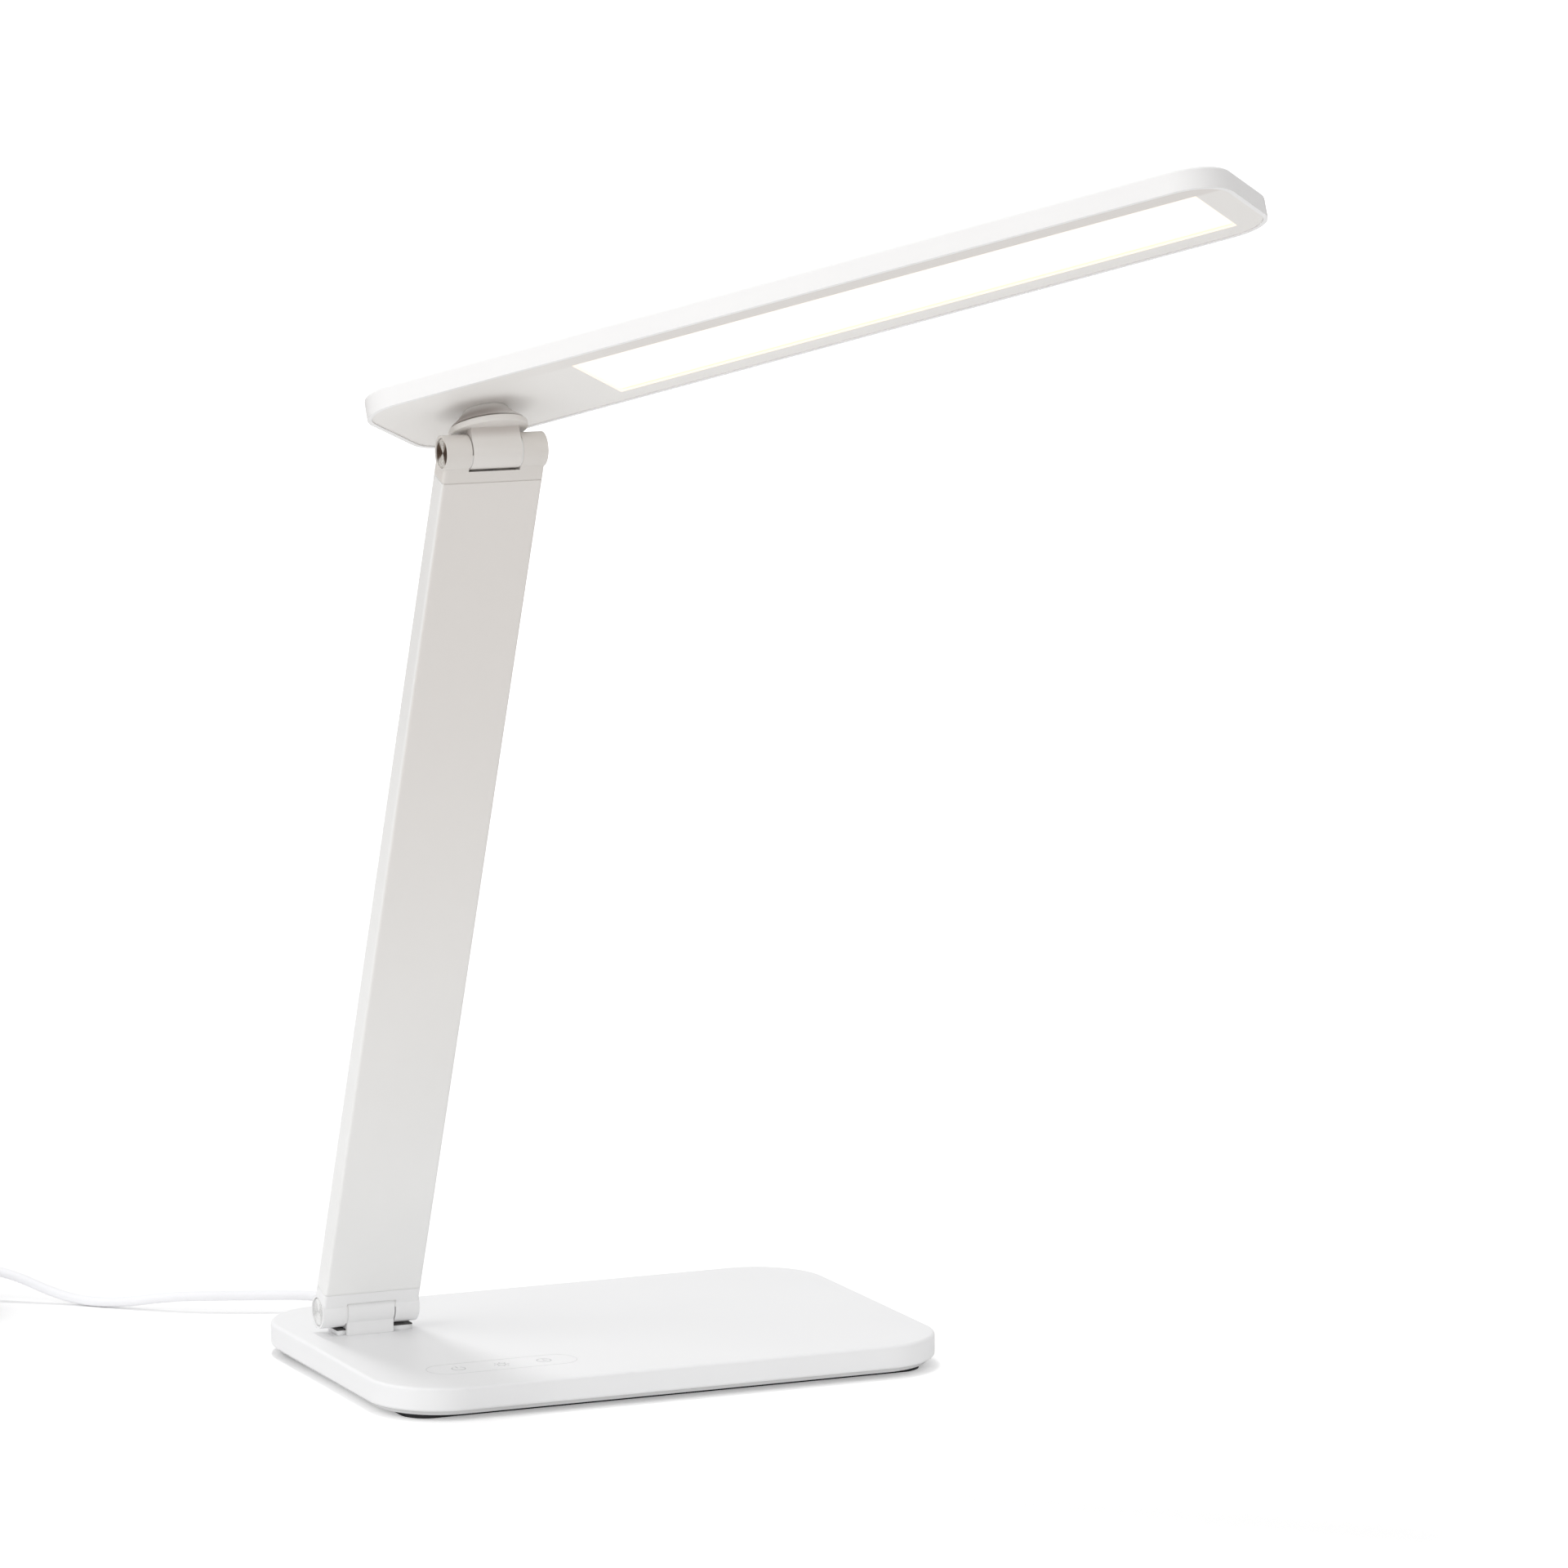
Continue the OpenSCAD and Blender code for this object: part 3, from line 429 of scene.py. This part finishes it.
# ---- Bottom of the base ----
# A zinc-plated steel plate as ballast and a moulded bottom plate close the shell, with four screws.
# The lamp stands on a sheet of dark foam stuck to the plate.
zinc = bare_metal("zinc_plating", (0.42, 0.43, 0.45), (0.62, 0.63, 0.66), 0.28, 0.25)
blued = bare_metal("screw_steel", (0.36, 0.36, 0.37), (0.52, 0.52, 0.54), 0.3, 0.2)
dress(zinc, "ballast_plate")
dress(blued, "base_screws", "board_screws", "bracket_screws")
dress(moulded("plate_plastic", (0.72, 0.72, 0.72), 0.55, 0.0003, 0.00002), "base_plate")
dress(moulded("dark_foam", (0.03, 0.03, 0.032), 0.85, 0.0004, 0.00006), "anti_slip_pad")

# ---- Touch print ----
# Grey ink printed on the roof of the closed base, over the springs: a long outline, and in it signs
# for power, brightness and the mode of the light.
roof, ink_half, ink_rise = 0.01012, 0.00015, 0.000015
ink_line = np.array([[-ink_half, -ink_rise], [ink_half, -ink_rise],
                     [ink_half, ink_rise], [-ink_half, ink_rise]])


def arc(centre, radius, start, stop, count):
    """Points on a circle about centre, from start to stop in degrees."""
    turn = np.radians(np.linspace(start, stop, count))
    return np.stack([centre[0] + radius * np.cos(turn), centre[1] + radius * np.sin(turn),
                     np.full(count, roof)], -1)


def straight(first, last):
    """Two points of a straight line on the roof."""
    return np.array([[*first, roof], [*last, roof]])


strip_y, strip_r = -0.037, 0.0062
outline = np.concatenate([arc((-0.0644, strip_y), strip_r, 90, 270, 24),
                          arc((-0.0303, strip_y), strip_r, -90, 90, 24)])
power, sun, mode = (-0.06096, -0.03714), (-0.04735, strip_y), (-0.03401, -0.03695)
rays = [np.array([arc(sun, r, a, a, 1)[0] for r in (0.0018, 0.0024)]) for a in range(0, 360, 45)]
signs = [
    arc(power, 0.002, 125, 415, 30),
    straight((power[0], power[1] + 0.0007), (power[0], power[1] + 0.0026)),
    arc(sun, 0.00125, 0, 358, 24), *rays,
    arc(mode, 0.0021, 0, 358, 32),
    straight(mode, (mode[0], mode[1] + 0.0013)), straight(mode, (mode[0] + 0.001, mode[1]))]
pale_ink = moulded("pale_ink", (0.83, 0.83, 0.84), 0.5, 0.0004, 0.000002, 0.00001)
grey_ink = moulded("grey_ink", (0.64, 0.64, 0.65), 0.5, 0.0004, 0.000002, 0.00001)
touch_outline = skin_of(
    "touch_outline", [carried(outline, ink_line, loop=True)], pale_ink, loop=True)
touch_signs = skin_of("touch_signs", [carried(path, ink_line) for path in signs], grey_ink)
fitted(touch_outline, "base")
fitted(touch_signs, "base")


# ---- Hinges ----
# In each hinge a middle knuckle turns between the two ears of the arm's end casting, on a turned
# shoulder bolt with a locked nut and two washers. The castings are zinc in white paint.
joints = {joint["name"]: joint for joint in frame["joints"]}
lower_axis, upper_axis, swivel_at = (
    np.array(joints[name]["pos_m"]) for name in ("arm_tilt", "head_tilt", "head_swivel"))
line_x = np.array([1.0, 0.0, 0.0])
arm_up = (upper_axis - lower_axis) / np.linalg.norm(upper_axis - lower_axis)
white_cast = moulded("casting_white", (0.90, 0.90, 0.90), 0.38, 0.0005, 0.000012)
# The upper casting is a darker, warmer white than the lower ones: painted shade.
upper_cast_painted_shade = moulded("upper_casting_painted_shade", (0.785, 0.755, 0.72), 0.38, 0.0005, 0.000012)
dress(white_cast, "hinge_bracket", "lower_end")
dress(upper_cast_painted_shade, "upper_end")
dress(zinc, "lower_nut", "upper_nut", "lower_washers", "upper_washers")


def turned_face(name, centre, dark, bright, tilt):
    """Turned steel: fine grooves round the X axis through centre, height sin(r * pitch), and a
    painted reflection in its colour, a bright bow tie on dark where |cos(turn - tilt)| of the
    direction from the centre is large."""
    material, g = finish_of(name)
    out = g.node("VectorMath", [g.place(), tuple(centre)], operation="SUBTRACT")
    y, z = g.node("SeparateXYZ", [out], output="Y"), g.node("SeparateXYZ", [out], output="Z")
    radius = (y * y + z * z).math("SQRT")
    along = (z * float(np.cos(tilt)) + y * float(np.sin(tilt))).math("ABSOLUTE") / radius
    painted_bow_tie = (along + g.noise(700.0) * 0.3).above(0.7, 1.0)
    groove = (radius * 42000.0).math("SINE")
    g.skin(Base_Color=g.blend(painted_bow_tie, dark, bright), Metallic=1.0, Roughness=0.2,
           Normal=g.node("Bump", {"Height": groove, "Distance": 0.000006, "Strength": 1.0}))
    return material


# Painted reflections: grey on white for the lower pin's face, a warm bow tie on brown for the
# upper.
painted_bright_reflection, painted_warm_reflection, painted_brown_reflection = (0.95, 0.95, 0.94), (0.95, 0.94, 0.90), (0.15, 0.10, 0.07)
dress(turned_face("turned_lower", lower_axis, (0.80, 0.80, 0.79), painted_bright_reflection, -0.3), "lower_pin")
dress(turned_face("turned_upper", upper_axis, painted_brown_reflection, painted_warm_reflection, -0.1), "upper_pin")


# ---- Saddle liner ----
# A white nylon liner in the saddle of the lower hinge, and cheeks of it in the gaps beside both
# middle knuckles, keep the dirt out. All are clipped to the arm.
def sector(inner, outer, start, stop, flat, count=24):
    """Points round a sector of a flat ring: the outer arc out and the inner arc back, whose radius
    is at least flat / cos(turn), so that its ends clear the flat front of the stem."""
    turn = np.radians(np.linspace(start, stop, count))
    unit = np.stack([np.sin(turn), np.cos(turn)], -1)
    near = np.maximum(inner, flat / np.cos(turn))[:, None]
    return np.concatenate([outer * unit, (near * unit)[::-1]])


# Each part runs along X from one place to another about an axis, between two radii and two angles
# from the arm's line, to the front; the last number is the flat that it clears.
saddle_half, cheek_in, cheek_out, cheek_r, stem_flat = 0.00772, 0.0074, 0.00773, 0.0040, 0.00398
liner_parts = (
    (lower_axis, -saddle_half, saddle_half, 0.00505, 0.00568, -42, 42, stem_flat),
    (lower_axis, -cheek_out, -cheek_in, cheek_r, 0.00496, -60, 115, 0),
    (lower_axis, cheek_in, cheek_out, cheek_r, 0.00496, -60, 62, 0),
    (upper_axis, -cheek_out, -cheek_in, cheek_r, 0.0048, 75, 150, 0),
    (upper_axis, cheek_in, cheek_out, cheek_r, 0.0049, 20, 150, 0))
liner_grids = [
    carried(axis + line_x * np.array([[x0], [x1]]), sector(r0, r1, a0, a1, flat), arm_up)
    for axis, x0, x1, r0, r1, a0, a1, flat in liner_parts]
liner_white = moulded("liner_white", (0.885, 0.88, 0.87), 0.4, 0.0005, 0.00001, 0.00005)
liner = skin_of("saddle_liner", liner_grids, liner_white, smooth=False)
fitted(liner, "arm")


# ---- Stop blocks and shade pads ----
# Two white blocks beside the bracket's stem, moulded on the roof, close the gap under the ears. On
# each lies a dark pad that is painted shade: it stands for the shadow in that gap.
def under_ears(name, height, thick, material):
    """A block with small round edges under each ear, as thick as said about that height."""
    deep, edge, middle = 0.0076, 0.00012, 0.0217
    ear_spans = ((-0.0776, -0.0749), (-0.0601, -0.0537))
    return skin_of(name, [
        carried([[x, middle, height] for x in span], rounded(deep, thick, edge, 4))
        for span in ear_spans], material)


painted_shade_pad = moulded("painted_shade_pad", (0.07, 0.068, 0.066), 0.6, 0.0004, 0.00001)
fitted(under_ears("stop_blocks", 0.01080, 0.0014, base_white), "base")
fitted(under_ears("shade_pads", 0.01172, 0.00044, painted_shade_pad), "base")


# ---- Arm ----
# A flat drawn aluminium tube with small round corners in the same white paint, pushed over the
# tongues of both castings, with the lead of the light loose inside.
def painted_warm_shade_on_arm(g):
    """Painted shade: a warmer, darker tone on the broad faces of the tube, from nothing at its foot
    to full at its top.
    """
    x, z = (g.node("SeparateXYZ", [g.place()], output=axis) for axis in "XZ")
    return z.above(0.0, 0.25) * x.above(-0.0827, -0.0821), (0.815, 0.785, 0.755)


arm_white = moulded("arm_white", (0.90, 0.90, 0.89), 0.36, 0.0006, 0.000008, stain=painted_warm_shade_on_arm)
dress(arm_white, "arm_tube")
dress(lead_vinyl, "arm_lead")

# ---- Seam beads ----
# A bead of white sealant in the seam at each end of the tube, nearly flush at the lower one. It
# runs round the tube's section, sunk by its depth and half its own width.
tube_wide, tube_thick, seam_from_axis, bead_half = 0.0305, 0.0075, 0.00785, 0.0002
seam = []
for axis, way, depth in ((lower_axis, 1, 0.00002), (upper_axis, -1, 0.0001)):
    sunk = 2 * (depth + bead_half)
    bead = rounded(tube_wide - sunk, tube_thick - sunk, 0.0008, 5)
    centre = axis + way * seam_from_axis * arm_up
    centre = centre + bead[:, :1] * line_x + bead[:, 1:] * np.cross(arm_up, line_x)
    seam.append(carried(centre, rounded(2 * bead_half, 0.00029, 0.00005, 2), arm_up, loop=True))
beads = skin_of("seam_beads", seam, arm_white, loop=True)
fitted(beads, "arm")

# ---- Neck ----
# A third zinc casting in white paint: the upper middle knuckle, a short block and a disc that turns
# under the head, held by a nut on its stud. Its darker, warmer white is painted shade, and a band
# of deeper painted shade lies close under the disc.
head_swing = np.radians(43.8)
head_up = np.array(joints["head_swivel"]["axis"])
head_level = np.cross(head_up, line_x)
head_along = np.cos(head_swing) * line_x - np.sin(head_swing) * head_level
head_across = np.sin(head_swing) * line_x + np.cos(head_swing) * head_level
shade_brown = (0.42, 0.38, 0.36)


def from_swivel(g, *directions):
    """How far a point is from the swivel's middle along each direction: dot products with them."""
    out = g.node("VectorMath", [g.place(), tuple(swivel_at)], operation="SUBTRACT")
    return [g.node("VectorMath", [out, tuple(way)], output="Value", operation="DOT_PRODUCT")
            for way in directions]


def painted_shade_under_disc(g):
    """Painted shade: a band just under the disc, between two heights along the swivel's axis."""
    height, = from_swivel(g, head_up)
    return height.above(-0.0102, -0.0072) * height.above(-0.0063, -0.0067), (0.64, 0.60, 0.57)


# The neck's darker, warmer white and the band under its disc are painted shade.
dress(moulded("neck_painted_shade", (0.83, 0.805, 0.775), 0.38, 0.0005, 0.000012, stain=painted_shade_under_disc),
      "swivel_neck")
dress(zinc, "swivel_washers", "swivel_nut")

# ---- Head ----
# A long thin shell of white ABS over a flat white frame with the lit opening. On the frame, painted
# shade makes it warmer near its front edge and darker round the boss of the swivel, and a painted
# glow lights the lip of the opening.
dress(moulded("head_white", (0.97, 0.97, 0.97), 0.4, 0.00035, 0.00001, 0.0001, 0.012),
      "head_shell")
panel_half_long, panel_half_wide, panel_mid = 0.0925, 0.0179, 0.1272
frame_white, painted_warm_edge_shade, painted_lip_glow = (0.915, 0.90, 0.875), (0.82, 0.79, 0.76), (1.0, 0.72, 0.45)
border, g = finish_of("frame_white")
x, y = from_swivel(g, head_along, head_across)
past_end = (x - panel_mid).math("ABSOLUTE") - panel_half_long
past_side = y.math("ABSOLUTE") - panel_half_wide
# Painted glow along the lip; painted shade by the front edge and round the boss.
lip = past_end.math("MAXIMUM", past_side).above(0.0003, 0.0001)
front_edge = y.above(-0.0165, -0.019) * x.above(0.01, 0.06)
boss = (x * x + y * y).math("SQRT").above(0.016, 0.010) * 0.2
fine = g.noise(2800.0, 3.0)
soft_edge = g.node("Bevel", {"Radius": 0.0001}, samples=4)
g.skin(Base_Color=g.blend(boss, g.blend(front_edge, frame_white, painted_warm_edge_shade), shade_brown),
       Roughness=fine * 0.1 + 0.38,
       Emission_Color=g.blend(lip, (0, 0, 0), painted_lip_glow), Emission_Strength=0.55,
       Normal=g.node("Bump", {"Height": fine, "Distance": 0.00001, "Strength": 1.0,
                              "Normal": soft_edge}))
dress(border, "head_frame")


# ---- Swivel collar ----
# A soft collar round the boss closes the gap between the head and the disc of the neck. Its colour
# is
# painted shade: brown grey at the disc, lighter on its right-hand side, and white where it meets
# the frame.
def painted_collar_shade(g):
    """Painted shade: dark at the foot of the collar, and less so on its right-hand side."""
    height, right = from_swivel(g, head_up, (0.912, -0.409, 0.0))
    return height.above(0.0004, -0.0028) * (right.above(0.0095, 0.0) * 0.7 + 0.3), shade_brown


section = 0.001 * np.array([
    [5.55, -4.2], [10.2, -4.2], [10.5, -4.05], [10.3, -3.75], [9.6, -3.2], [8.8, -2.6], [8.0, -1.9],
    [7.2, -1.1], [6.6, -0.4], [6.2, 0.1], [6.0, 0.32], [5.55, 0.32]])
turn = np.linspace(0, 2 * np.pi, 96, endpoint=False)[:, None, None]
spoke = np.cos(turn) * head_along + np.sin(turn) * head_across
collar_grid = swivel_at + section[None, :, :1] * spoke + section[None, :, 1:] * head_up
collar_vinyl = moulded("collar_vinyl", (0.90, 0.89, 0.87), 0.5, 0.0005, 0.00001, stain=painted_collar_shade)
collar = skin_of("swivel_collar", [collar_grid], collar_vinyl, loop=True)
fitted(collar, "head")

# ---- Light engine ----
# Behind the opening lie a milky diffuser, warm along its edge, an acrylic light guide with printed
# dots, a white film and an aluminium sheet that carries the two strips of LEDs.
opal, g = finish_of("opal_panel")
x, y = from_swivel(g, head_along, head_across)
near_end = (x - (panel_mid - panel_half_long)).above(0.0012, 0.0001) * 0.5
edge = y.above(panel_half_wide - 0.0028, panel_half_wide - 0.0002).math("MAXIMUM", near_end)
g.skin(Base_Color=(0.5, 0.49, 0.46, 1), Roughness=edge * 0.1 + 0.35,
       Emission_Color=g.blend(edge, (1.0, 0.99, 0.96), (1.0, 0.76, 0.46)), Emission_Strength=0.65)
dress(opal, "diffuser")
acrylic, g = finish_of("clear_acrylic")
dot = g.node("TexVoronoi", {"Vector": g.place(), "Scale": 700.0}, output="Distance")
g.skin(Base_Color=g.blend(dot.above(0.2, 0.25), (1, 1, 1), (0.93, 0.96, 0.97)),
       Roughness=dot * 0.2 + 0.05, Transmission_Weight=1.0, IOR=1.49)
dress(acrylic, "light_guide")
dress(moulded("reflector_film", (0.93, 0.93, 0.93), 0.6, 0.001, 0.000005), "reflector")
dress(bare_metal("bare_aluminium", (0.7, 0.7, 0.71), (0.82, 0.82, 0.83), 0.3, 0.2, 300.0),
      "heat_spreader")
dress(moulded("strip_white", (0.85, 0.85, 0.84), 0.4, 0.001, 0.000005), "led_strips")
phosphor, g = finish_of("led_phosphor")
g.skin(Base_Color=g.blend(g.noise(3000.0), (0.9, 0.7, 0.2), (0.95, 0.8, 0.35)), Roughness=0.4,
       Emission_Color=(1.0, 0.9, 0.7, 1), Emission_Strength=2.0)
dress(phosphor, "leds")
dress(lead_vinyl, "head_leads")
